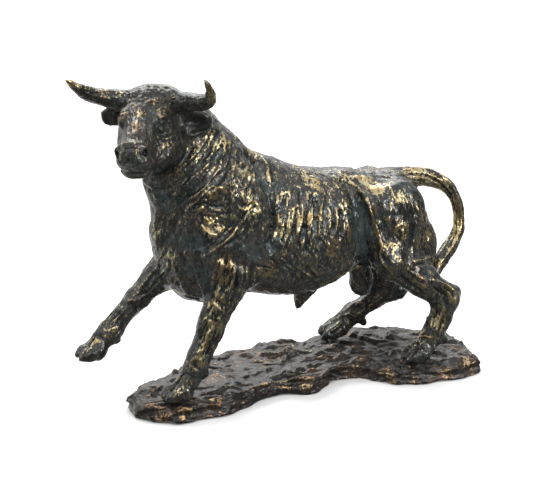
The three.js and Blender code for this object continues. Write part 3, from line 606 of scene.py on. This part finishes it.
# Where the gold was rubbed on, as the camera sees it: (place in the picture, radius in mm, amount)
RUBBED = [
    # nose, forehead and cheek
    ((140, 113), 7, 0.6), ((136, 126), 8, 0.6), ((132, 137), 6, 0.3), ((135, 147), 6, 0.3),
    ((141, 155), 4, 0.4), ((123, 116), 8, 0.45), ((120, 130), 8, 0.35), ((134, 104), 8, 0.3),
    ((154, 101), 6, 0.45), ((163, 112), 7, 0.4), ((150, 141), 8, 0.2), ((160, 146), 8, 0.2),
    ((170, 146), 8, 0.2), ((168, 155), 9, 0.25),
    # horns
    ((207, 85), 6, 0.9), ((210, 92), 6, 0.9), ((213, 99), 6, 0.7), ((68, 81), 7, 0.9), ((76, 86), 7, 0.6),
    ((88, 89), 8, 0.3), ((104, 92), 8, 0.35), ((118, 92), 6, 0.3),
    # neck
    ((178, 172), 8, 0.3), ((196, 153), 10, 0.5), ((214, 136), 9, 0.6), ((226, 142), 7, 0.5),
    # shoulder
    ((232, 205), 32, 0.13), ((254, 153), 9, 0.6), ((239, 168), 8, 0.4), ((248, 174), 11, 0.7),
    ((228, 190), 8, 0.4), ((244, 190), 8, 0.3), ((214, 194), 9, 0.6), ((254, 208), 11, 0.6),
    ((210, 224), 12, 0.7), ((231, 233), 7, 0.5),
    # chest
    ((157, 232), 9, 0.3), ((172, 262), 9, 0.3), ((170, 256), 5, 0.6), ((174, 268), 5, 0.6),
    ((179, 279), 5, 0.5),
    # back and croup
    ((270, 176), 6, 0.4), ((302, 172), 13, 0.4), ((316, 184), 14, 0.45), ((340, 186), 12, 0.35),
    ((349, 177), 11, 0.5), ((364, 178), 10, 0.55), ((366, 181), 7, 0.5), ((420, 178), 12, 0.5),
    # ribs and flank
    ((284, 196), 9, 0.5), ((284, 230), 11, 0.6), ((300, 220), 12, 0.7), ((316, 216), 10, 0.6),
    ((348, 206), 12, 0.4), ((350, 230), 12, 0.4), ((334, 246), 12, 0.3),
    # belly and the fold at the sheath
    ((269, 274), 11, 0.8), ((300, 272), 12, 0.2), ((328, 258), 12, 0.3), ((325, 284), 4, 0.5),
    ((340, 273), 5, 0.6), ((355, 267), 5, 0.6), ((370, 267), 4, 0.6),
    # hip and the edge of the thigh
    ((374, 188), 12, 0.7), ((378, 187), 8, 0.5), ((367, 201), 4, 0.6), ((371, 211), 5, 0.6),
    ((375, 222), 5, 0.6), ((379, 232), 7, 0.7), ((383, 245), 7, 0.7), ((382, 256), 5, 0.6),
    ((387, 267), 5, 0.5), ((394, 276), 5, 0.4),
    # thigh and buttock
    ((392, 222), 24, 0.14), ((424, 240), 22, 0.12), ((400, 198), 9, 0.6), ((404, 229), 10, 0.7),
    ((393, 250), 8, 0.5), ((398, 262), 8, 0.3), ((423, 218), 8, 0.5), ((428, 234), 9, 0.6),
    ((419, 243), 9, 0.7),
    # near foreleg
    ((212, 315), 36, 0.12), ((226, 263), 9, 0.9), ((225, 276), 8, 0.7), ((219, 281), 9, 0.6),
    ((229, 286), 8, 0.4), ((219, 302), 9, 0.45), ((214, 312), 8, 0.4), ((213, 324), 8, 0.5),
    ((210, 334), 7, 0.45), ((206, 342), 7, 0.6), ((202, 352), 7, 0.6), ((198, 362), 8, 0.7),
    ((182, 390), 6, 0.4),
    # far foreleg
    ((148, 288), 7, 0.3), ((131, 315), 8, 0.2), ((114, 322), 9, 0.3), ((96, 340), 6, 0.4),
    ((90, 345), 7, 0.3),
    # hind legs
    ((424, 284), 12, 0.5), ((445, 290), 8, 0.6), ((452, 300), 7, 0.5), ((436, 305), 8, 0.4),
    ((441, 314), 8, 0.4), ((438, 322), 9, 0.8), ((430, 340), 7, 0.4), ((366, 305), 12, 0.2),
    # tail
    ((448, 190), 26, 0.12), ((459, 220), 22, 0.12), ((410, 172), 10, 0.6), ((420, 171), 8, 0.4),
    ((430, 177), 10, 0.7), ((444, 186), 10, 0.7), ((457, 201), 10, 0.7), ((460, 213), 7, 0.4),
    ((459, 224), 9, 0.6), ((456, 238), 8, 0.5), ((451, 250), 9, 0.4), ((440, 262), 8, 0.4),
]

# Where less of it is left: hollows and folds, and, as painted shade, the shaded sides of the head, chest,
# belly and legs
LEFT_DARK_AND_PAINTED_SHADE = [
    # head
    ((112, 118), 10, -0.4), ((160, 126), 5, -0.4), ((196, 122), 13, -0.9), ((145, 158), 5, -0.4),
    ((128, 160), 10, -0.4), ((140, 166), 9, -0.3), ((155, 178), 9, -0.4),
    # neck, chest and belly
    ((166, 202), 10, -0.3), ((194, 242), 12, -0.5), ((150, 255), 14, -0.3), ((190, 275), 18, -0.3),
    ((252, 256), 12, -0.7), ((270, 250), 9, -0.4), ((300, 288), 12, -0.3),
    # flank and thigh
    ((364, 236), 10, -0.4), ((386, 212), 5, -0.5), ((402, 212), 6, -0.4), ((411, 228), 4, -0.5),
    ((360, 285), 14, -0.4),
    # forelegs
    ((150, 285), 14, -0.2), ((120, 315), 14, -0.15), ((210, 285), 7, -0.4),
]

# Where the metal is reddish: the nose, the forehead, the near forearm and the far cannon
COPPERY = [
    ((138, 123), 14, 1.0), ((122, 120), 12, 0.9), ((134, 104), 8, 0.7), ((153, 104), 8, 1.0),
    ((226, 266), 13, 0.7), ((220, 288), 14, 0.5), ((118, 318), 14, 0.7),
]

# Painted shade: the patina is painted black, rougher and less metallic in recesses and on sides that the
# light misses
PAINTED_SHADE = [
    # ears
    ((188, 122), 9, 1.0), ((198, 121), 10, 1.0), ((205, 121), 6, 0.8), ((194, 129), 6, 0.8),
    ((101, 116), 9, 0.7),
    # eye, nostrils, mouth and poll
    ((164, 125), 4, 0.7), ((145, 153), 4, 1.0), ((117, 155), 4, 1.0), ((124, 172), 4, 0.7),
    ((133, 173), 4, 0.7), ((142, 173), 4, 0.7), ((150, 170), 4, 0.6), ((150, 93), 16, 0.2),
    # chest, and behind the elbow
    ((198, 270), 12, 0.4), ((190, 286), 10, 0.35), ((250, 253), 10, 0.35), ((176, 240), 16, 0.25),
    # shaded edges of the legs
    ((207, 292), 6, 0.4), ((203, 312), 6, 0.4), ((198, 332), 6, 0.4), ((191, 351), 6, 0.4),
    ((421, 322), 6, 0.3), ((160, 286), 6, 0.3), ((145, 301), 6, 0.3), ((130, 317), 6, 0.3),
    # clefts of the hooves
    ((174, 384), 4, 0.6), ((88, 347), 4, 0.6), ((412, 350), 4, 0.6),
]

# Deep folds where the patina is sea green, painted lighter than the rest as painted light in these shaded
# hollows
SEA_GREEN_AND_PAINTED_LIGHT = [
    ((360, 212), 12, 0.5), ((362, 230), 13, 0.6), ((359, 249), 13, 0.8), ((366, 262), 8, 0.7),
    ((270, 215), 6, 0.3), ((271, 240), 8, 0.15), ((255, 258), 9, 0.4), ((200, 246), 9, 0.3),
]

FLANK_FROM = 240  # right of this in the picture, gold and sea green are repeated on the other flank
CREASE_EDGE = 0.13  # the noise at a crease's edge, which is 0 at its bottom
TAIL_X = (100, 120)  # mm along and up, between which the hide of the body gives way to the tail's
TAIL_Z = (70, 80)


def painted(clay, start, patches, mirrored_from=math.inf):
    """How much of a finish each point of the skin has, from 0 to 1: a start, and the patches on top."""
    amounts = start.copy()
    for place, radius, amount in patches:
        for line in clay.lines([place], mirrored=place[0] > mirrored_from):
            amounts += amount * nearness(clay.points, line[0], radius)
    return np.clip(amounts, 0, 1)


def hide(clay):
    """The uneven clay of the hide: soft lumps, small dabs and creases, weaker on the back and the tail."""
    p = clay.points
    drift = drifting(p, 17, 1)
    lumps = layered((p + drift) / 9, 11)
    dabs = 1 - 2 * np.abs(layered(cells(p + drift, 2.4, 2.4, 5), 21))
    off_crease = np.abs(noise(cells(p + 1.5 * drift, 6, 6, 10), 27))
    creases = np.clip(1 - off_crease / CREASE_EDGE, 0, 1)
    tail = rising(p[:, 0], *TAIL_X) * rising(p[:, 2], *TAIL_Z)
    amount = 1 - 0.45 * np.maximum(tail, np.clip(clay.normals[:, 2], 0, 1))
    clay.rise += amount * (0.5 * lumps + 0.1 * dabs - 0.3 * creases)
    clay.settle()


def keep_hide(clay):
    """What the bronze reads from the skin."""
    bare = np.zeros(len(clay.points))
    calm = nearness(clay.points, HEAD_AT, CALM_REACH)
    some_gold = 0.24 - 0.06 * calm - 0.12 * np.clip(-clay.normals[:, 2], 0, 1)
    clay.keep("high", clay.worked_high())
    # the hollows and the listed folds: sea green patina, painted lighter as painted light
    clay.keep("deep", painted(clay, clay.hollows(60, 3), SEA_GREEN_AND_PAINTED_LIGHT, FLANK_FROM))
    # where black painted shade goes: recesses and shaded sides
    clay.keep("painted_shade", painted(clay, bare, PAINTED_SHADE))
    clay.keep("calm", calm)
    # gold, with less of it in hollows and folds, and less on the shaded sides as painted shade
    clay.keep("rub", painted(clay, some_gold, RUBBED + LEFT_DARK_AND_PAINTED_SHADE, FLANK_FROM))
    clay.keep("coppery", painted(clay, bare, COPPERY))


# The slab of rock

ROCK_GRID = 0.95
ROCK_MARKS = 420  # how many ripples there are of each size
ROCK_MARKS_FROM = 3  # mm over the underside
ROCK_WORK_FROM = (0.5, 3.0)  # mm over the underside, where the work begins and where it is full
ROCK_RIPPLES = [(36, 3.8, 1.6), (24, 1.9, 0.7)]  # (length, width, height) in mm

# Ledges, cracks, rims and ripples of the rock: (path in the picture, width, height)
ROCK_STROKES = [
    ([(137, 414), (150, 413), (164, 409), (180, 406)], 2.2, -2.6),  # fissure of the left end
    ([(141, 406), (153, 404), (165, 402), (176, 401)], 3.0, 1.2),
    ([(146, 418), (160, 418), (174, 415)], 3.0, 1.0),
    ([(197, 403), (195, 411), (194, 419)], 1.8, -1.6),
    ([(178, 408), (186, 409), (191, 414)], 4.4, 2.0),
    ([(206, 403), (214, 405), (224, 403)], 4.0, 1.9),
    ([(199, 402), (219, 396), (238, 393), (258, 386), (271, 381)], 2.6, 1.4),  # edge of the ledge
    ([(271, 381), (283, 379), (303, 377), (325, 377)], 2.6, 1.4),
    ([(238, 404), (250, 397), (262, 390), (272, 385)], 2.0, -1.4),
    ([(226, 402), (240, 399), (252, 392)], 2.0, -1.2),
    ([(273, 381), (272, 388), (271, 395)], 1.6, -1.8),
    ([(280, 385), (294, 383), (312, 382)], 1.6, -1.0),
    ([(325, 378), (321, 385), (317, 391)], 2.4, 1.2),
    ([(330, 371), (335, 375), (341, 377)], 3.0, -1.8),
    ([(338, 373), (352, 371), (368, 370)], 2.0, 1.2),
    ([(340, 377), (360, 376), (378, 379)], 2.0, -1.0),
    ([(372, 362), (374, 370), (372, 378)], 2.2, -1.2),
    ([(384, 366), (400, 371), (416, 374)], 2.2, 1.0),
    ([(392, 378), (410, 381), (424, 382)], 1.8, -0.9),
    ([(424, 372), (440, 372), (456, 368)], 2.2, 1.0),
    ([(459, 358), (462, 363), (463, 368)], 1.6, -2.2),  # crack of the right end
    ([(466, 357), (474, 357), (480, 362)], 3.2, 1.2),
    ([(362, 333), (374, 334), (386, 340)], 2.2, 1.6),  # swirls round the far hoof
    ([(360, 338), (372, 341), (382, 348)], 2.2, -1.4),
    ([(366, 328), (380, 327), (396, 331)], 2.4, 1.4),
    ([(324, 341), (334, 341), (346, 340)], 2.4, 1.2),
    ([(400, 349), (396, 356), (402, 363), (414, 364)], 2.4, 1.4),  # rim round the near hind hoof
    ([(176, 401), (186, 400), (198, 400)], 2.4, 1.2),  # rim round the forehoof
    ([(148, 396), (156, 390), (164, 384)], 2.2, 1.2),
    ([(214, 360), (230, 354), (246, 350)], 2.2, 1.6),  # ripples of the top
    ([(222, 366), (238, 362), (254, 361)], 2.2, -1.6),
    ([(210, 372), (224, 369), (236, 372)], 2.4, 1.4),
    ([(252, 354), (270, 351), (290, 348)], 2.0, 1.4),
    ([(258, 361), (276, 363), (292, 366)], 2.0, 1.4),
    ([(244, 370), (260, 368), (276, 370)], 2.0, -1.4),
    ([(278, 373), (296, 371), (316, 372)], 2.0, 1.4),
    ([(300, 358), (316, 355), (330, 358)], 2.2, 1.2),
    ([(300, 345), (314, 342), (330, 346)], 2.2, 1.2),
]

# Copper and gold on the rock, as on the bull, and less of it in the cracks
ROCK_RUBBED = [
    # front edge, from the left
    ((150, 392), 10, 0.3), ((152, 404), 9, 0.7), ((162, 416), 9, 0.8), ((185, 411), 11, 1.0),
    ((215, 403), 11, 1.0), ((240, 396), 10, 0.5), ((262, 388), 9, 0.5), ((284, 384), 9, 0.6),
    ((306, 382), 10, 0.6), ((336, 374), 6, 0.4), ((352, 372), 10, 0.4), ((384, 370), 10, 0.6),
    ((392, 379), 8, 0.7), ((416, 380), 10, 0.7), ((446, 376), 10, 0.7), ((474, 374), 6, 0.3),
    ((470, 362), 12, 0.8),
    # top
    ((216, 378), 10, 0.4), ((226, 371), 8, 0.3), ((347, 334), 6, 0.4),
]
ROCK_DARK = [((333, 373), 7, -0.4), ((150, 411), 6, -0.5), ((196, 411), 4, -0.4)]


def rock_flow(point):
    """Which way the ripples of the rock run: along its front, in swirls."""
    swing = 0.9 * noise(np.array([point]) / 28, 61)[0]
    return np.array((math.cos(swing - 0.35), math.sin(swing - 0.35), 0))


def slab():
    """The strokes that give the ledges, then the ripples, then lumps and chips."""
    piece = clay_from("rock_base", "rock_slab", ROCK_GRID)
    clay = Clay(piece)
    for stroke in ROCK_STROKES:
        clay.stroke(*stroke)
    clay.settle()
    p = clay.points
    chance = np.random.default_rng(8)
    for length, width, height in ROCK_RIPPLES:
        places = chance.choice(np.flatnonzero(p[:, 2] > ROCK_MARKS_FROM), ROCK_MARKS, replace=False)
        cover(clay, places, rock_flow, length, width, height, chance)
    drift = drifting(p, 14, 31)
    lumps = layered((p + drift) / 9, 41)
    chips = 1 - 2 * np.abs(layered(cells(p + drift, 5, 2.4, 2.4), 51))
    clay.rise += 1.0 * lumps + 0.1 * chips
    off_underside = rising(p[:, 2], *ROCK_WORK_FROM)
    clay.rise *= off_underside
    clay.cut *= off_underside
    clay.settle()
    clay.keep("high", clay.worked_high())
    clay.keep("deep", clay.hollows(40, 2))
    clay.keep("rub", painted(clay, np.full(len(p), 0.15), ROCK_RUBBED + ROCK_DARK))
    return piece


# Finishes


class Reading:
    """The output of a shader node that can be reckoned with in plain sums."""

    def __init__(self, shader, socket):
        self.shader = shader
        self.socket = socket

    def reckon(self, operation, other):
        return self.shader.node("ShaderNodeMath", {"operation": operation}, {0: self, 1: other})

    def __add__(self, other):
        return self.reckon("ADD", other)

    def __sub__(self, other):
        return self.reckon("SUBTRACT", other)

    def __mul__(self, other):
        return self.reckon("MULTIPLY", other)

    def __rsub__(self, other):
        return self.shader.node("ShaderNodeMath", {"operation": "SUBTRACT"}, {0: other, 1: self})

    __radd__ = __add__
    __rmul__ = __mul__

    def between(self, low, high, start=0.0, end=1.0):
        """Start at and below low, end at and above high, smooth between them."""
        settings = {"interpolation_type": "SMOOTHSTEP"}
        inputs = {0: self, 1: low, 2: high, 3: start, 4: end}
        return self.shader.node("ShaderNodeMapRange", settings, inputs)


class Shader:
    """A tree of shader nodes, made from their types, settings and values."""

    def __init__(self, tree, last):
        self.tree = tree
        self.last = tree.nodes[last]

    def node(self, kind, settings=None, inputs=None, output=0):
        made = self.tree.nodes.new(kind)
        for key, value in (settings or {}).items():
            setattr(made, key, value)
        for key, value in (inputs or {}).items():
            self.feed(made.inputs[key], value)
        return Reading(self, made.outputs[output])

    def feed(self, socket, value):
        if isinstance(value, Reading):
            self.tree.links.new(value.socket, socket)
        else:
            socket.default_value = value

    def set(self, **values):
        """Feeds the sockets of the last node, a space in their names written as _."""
        for name, value in values.items():
            self.feed(self.last.inputs[name.replace("_", " ")], value)


class Finish(Shader):
    """A material with a Principled shader."""

    def __init__(self, name, **values):
        self.material = bpy.data.materials.new(name)
        self.material.use_nodes = True
        super().__init__(self.material.node_tree, "Principled BSDF")
        self.set(**values)

    def kept(self, name):
        return self.node("ShaderNodeAttribute", {"attribute_name": name}, output="Fac")

    def grain(self, size, detail=3.0, roughness=0.6, stretch=(1, 1, 1)):
        """Noise from -0.5 to 0.5, its features a size in mm, drawn out along the axes."""
        place = self.node("ShaderNodeTexCoord", output="Object")
        scale = [1 / side for side in stretch]
        mapped = self.node("ShaderNodeMapping", None, {"Vector": place, "Scale": scale})
        inputs = {"Vector": mapped, "Scale": 1 / (size * MM), "Detail": detail, "Roughness": roughness}
        return self.node("ShaderNodeTexNoise", None, inputs) - 0.5

    def mixed(self, share, a, b):
        """Colour a where the share is 0, b where it is 1."""
        inputs = {0: share, 6: a, 7: b}
        return self.node("ShaderNodeMix", {"data_type": "RGBA"}, inputs, output=2)

    def bump(self, height, distance):
        """The normal of a surface that rises a distance in mm where the height is 1."""
        inputs = {"Height": height, "Strength": 1.0, "Distance": distance * MM}
        return self.node("ShaderNodeBump", None, inputs)

    def wear(self, piece):
        piece.data.materials.append(self.material)


def colour(r, g, b):
    return (r, g, b, 1.0)


# The patina of the bull, and the metal that shows through it. Where there are two colours, the first is that
# of the hollows of the grain; in the bull's patina the first also marks the creases as painted shade, and
# the second the ridges as painted light.
BROWN_PATINA = colour(0.020, 0.019, 0.017), colour(0.076, 0.069, 0.058)
GREEN_PATINA = colour(0.019, 0.026, 0.026), colour(0.062, 0.081, 0.079)
# sea green patina, lightened as painted light in the shaded hollows
SEA_GREEN_PATINA_AND_PAINTED_LIGHT = colour(0.115, 0.136, 0.134)
# painted shade: the black of the creases of the hide
PAINTED_CREASE_SHADE = colour(0.012, 0.013, 0.013)
HEAD_BLACK = colour(0.016, 0.016, 0.015)
# painted shade: the black of recesses and shaded sides
PAINTED_SHADE_BLACK = colour(0.010, 0.010, 0.010)
BRASS = colour(0.36, 0.27, 0.13), colour(0.50, 0.43, 0.26)
RED_BRASS = colour(0.34, 0.23, 0.135)
HEAD_BRASS = colour(0.20, 0.15, 0.085)

# The same for the rock
ROCK_BLACK = colour(0.020, 0.019, 0.018), colour(0.044, 0.041, 0.038)
ROCK_BROWN = colour(0.034, 0.024, 0.017), colour(0.066, 0.048, 0.034)
COPPER = colour(0.32, 0.18, 0.10), colour(0.46, 0.34, 0.18)

# The studio's floor and sky
PALE = colour(0.9, 0.9, 0.9)
WHITE = colour(1, 1, 1)


def bronze():
    """Dark green-black patina, rubbed to gold where the hide stands high, with painted shade in the creases
    and recesses and painted light in the hollows.
    """
    f = Finish("bronze_patina", IOR=1.5)
    high, rub, deep, painted_shade, calm = (f.kept(name) for name in ("high", "rub", "deep", "painted_shade", "calm"))
    streaks = f.grain(5.0, detail=2, roughness=0.7, stretch=(1, 1, 1.6))
    fine = f.grain(1.35, detail=1.8, roughness=0.75, stretch=(1, 1, 1.9))
    crests = high.between(-0.5, 0.6)
    bared = crests * 0.8 + rub * 0.9 + fine * 2.1 + streaks * 1.4 - deep * 0.3 - painted_shade
    gold = bared.between(0.92, 1.02)
    # the grain's random tone, plus painted shade: darker in creases, lighter on ridges
    shade = (streaks + fine + high * 0.25).between(-0.26, 0.26)
    greenish = (f.grain(16) + deep * 0.7).between(-0.1, 0.3)
    dark = f.mixed(greenish, f.mixed(shade, *BROWN_PATINA), f.mixed(shade, *GREEN_PATINA))
    # sea green patina in the hollows, painted lighter as painted light
    dark = f.mixed(deep.between(0.2, 1.2), dark, SEA_GREEN_PATINA_AND_PAINTED_LIGHT)
    # painted shade: the patina turns black in the creases of the hide
    dark = f.mixed(high.between(-0.8, -0.15), PAINTED_CREASE_SHADE, dark)
    dark = f.mixed(calm * 0.4, dark, HEAD_BLACK)
    # painted shade: black at the listed recesses and shaded sides
    dark = f.mixed(painted_shade, dark, PAINTED_SHADE_BLACK)
    brass = f.mixed(f.grain(7).between(-0.1, 0.1), *BRASS)
    brass = f.mixed(f.kept("coppery"), brass, RED_BRASS)
    brass = f.mixed(calm * 0.5, brass, HEAD_BRASS)
    f.set(
        Base_Color=f.mixed(gold, dark, brass),
        Metallic=0.5 + gold * 0.45 - painted_shade * 0.4,
        Roughness=0.23 + fine * 0.12 + gold * 0.07 + painted_shade * 0.06 + calm * 0.12,
        Normal=f.bump((fine + streaks * 0.6) * (1 - calm * 0.6), 0.26),
    )
    return f


def rock_finish():
    """Dark brown patina, rubbed to copper and gold on its edges."""
    f = Finish("rock_patina", IOR=1.5)
    high, rub, deep = f.kept("high"), f.kept("rub"), f.kept("deep")
    streaks = f.grain(5.0, detail=2, roughness=0.7)
    fine = f.grain(1.5, detail=1.6, roughness=0.75)
    crests = high.between(-0.9, 0.9)
    bared = crests * 0.6 + rub * 0.8 + fine * 2.2 + streaks * 1.4 - deep * 0.3
    gold = bared.between(0.95, 1.08)
    shade = (streaks + fine).between(-0.2, 0.24)
    brownish = (f.grain(20) + rub * 0.3).between(0.0, 0.25)
    dark = f.mixed(brownish, f.mixed(shade, *ROCK_BLACK), f.mixed(shade, *ROCK_BROWN))
    copper = f.mixed(f.grain(8).between(-0.1, 0.1), *COPPER)
    f.set(
        Base_Color=f.mixed(gold, dark, copper),
        Metallic=0.5 + gold * 0.4,
        Roughness=0.3 + fine * 0.15 + gold * 0.04,
        Normal=f.bump(fine + streaks * 0.7, 0.45),
    )
    return f


# The studio, in metres

FLOOR_WIDTH = 12
AIM = (0, 0, 0.1)  # what the lamps are turned to
# Lamps: (name, place, width and height, power in watts)
LAMPS = [
    ("overhead", (0.1, 0.8, 1.0), (1.4, 0.7), 16),
    ("key", (0.75, -1.2, 0.6), (0.35, 0.35), 10),
    ("front", (-0.3, -1.2, 1.2), (0.4, 0.3), 4),
    ("left", (-1.2, -0.3, 0.6), (0.25, 0.6), 1.5),
]
# The sky's glow along an axis: (axis, where it begins, where it is full, how bright it is before and after)
GLOWS = [("Z", 0.2, 0.6, 0.1, 1.25), ("Y", 0.1, 0.6, 0.1, 1.2)]


def studio():
    """The floor, the sky, the lamps and the camera."""
    bpy.ops.object.select_all(action="DESELECT")
    bpy.ops.mesh.primitive_plane_add(size=FLOOR_WIDTH, location=(0, 0, 0))
    floor = bpy.context.object
    floor.name = "studio_floor"
    Finish("pale_floor", Base_Color=PALE, Roughness=0.9).wear(floor)
    floor.visible_glossy = False

    sky()
    for settings in LAMPS:
        lamp(*settings)

    camera = bpy.data.objects.new("camera", bpy.data.cameras.new("camera"))
    bpy.context.scene.collection.objects.link(camera)
    camera.location = EYE * MM
    camera.rotation_mode = "QUATERNION"
    camera.rotation_quaternion = (-TOWARDS).to_track_quat("-Z", "Y")
    camera.data.sensor_width = SENSOR
    camera.data.lens = FOCAL / PICTURE[0] * SENSOR
    camera.data.clip_start = 0.05
    bpy.context.scene.camera = camera
    bpy.context.scene.view_settings.view_transform = "Standard"


def sky():
    """A dome of light, bright overhead and behind the figurine, and dim at the horizon before it."""
    world = bpy.data.worlds.new("studio")
    bpy.context.scene.world = world
    world.use_nodes = True
    f = Shader(world.node_tree, "Background")
    way = f.node("ShaderNodeTexCoord", output="Generated")
    glows = []
    for axis, *glow in GLOWS:
        part = f.node("ShaderNodeSeparateXYZ", None, {0: way}, output=axis)
        glows.append(part.between(*glow))
    f.set(Color=WHITE, Strength=glows[0].reckon("MAXIMUM", glows[1]))


def lamp(name, at, size, power):
    """A soft rectangular lamp, turned to the figurine."""
    light = bpy.data.lights.new(name, "AREA")
    light.shape = "RECTANGLE"
    light.size, light.size_y = size
    light.energy = power
    holder = bpy.data.objects.new(name, light)
    bpy.context.scene.collection.objects.link(holder)
    holder.location = at
    holder.rotation_euler = (Vector(AIM) - Vector(at)).to_track_quat("-Z", "Y").to_euler()


def show(piece, node, finish):
    """Puts a finished piece in its solid's place."""
    finish.wear(piece)
    bpy.ops.object.select_all(action="DESELECT")
    piece.select_set(True)
    bpy.context.view_layer.objects.active = piece
    bpy.ops.object.shade_smooth()
    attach(piece, "root")
    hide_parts(node)


show(bull(), "bull", bronze())
show(slab(), "rock_base", rock_finish())
studio()
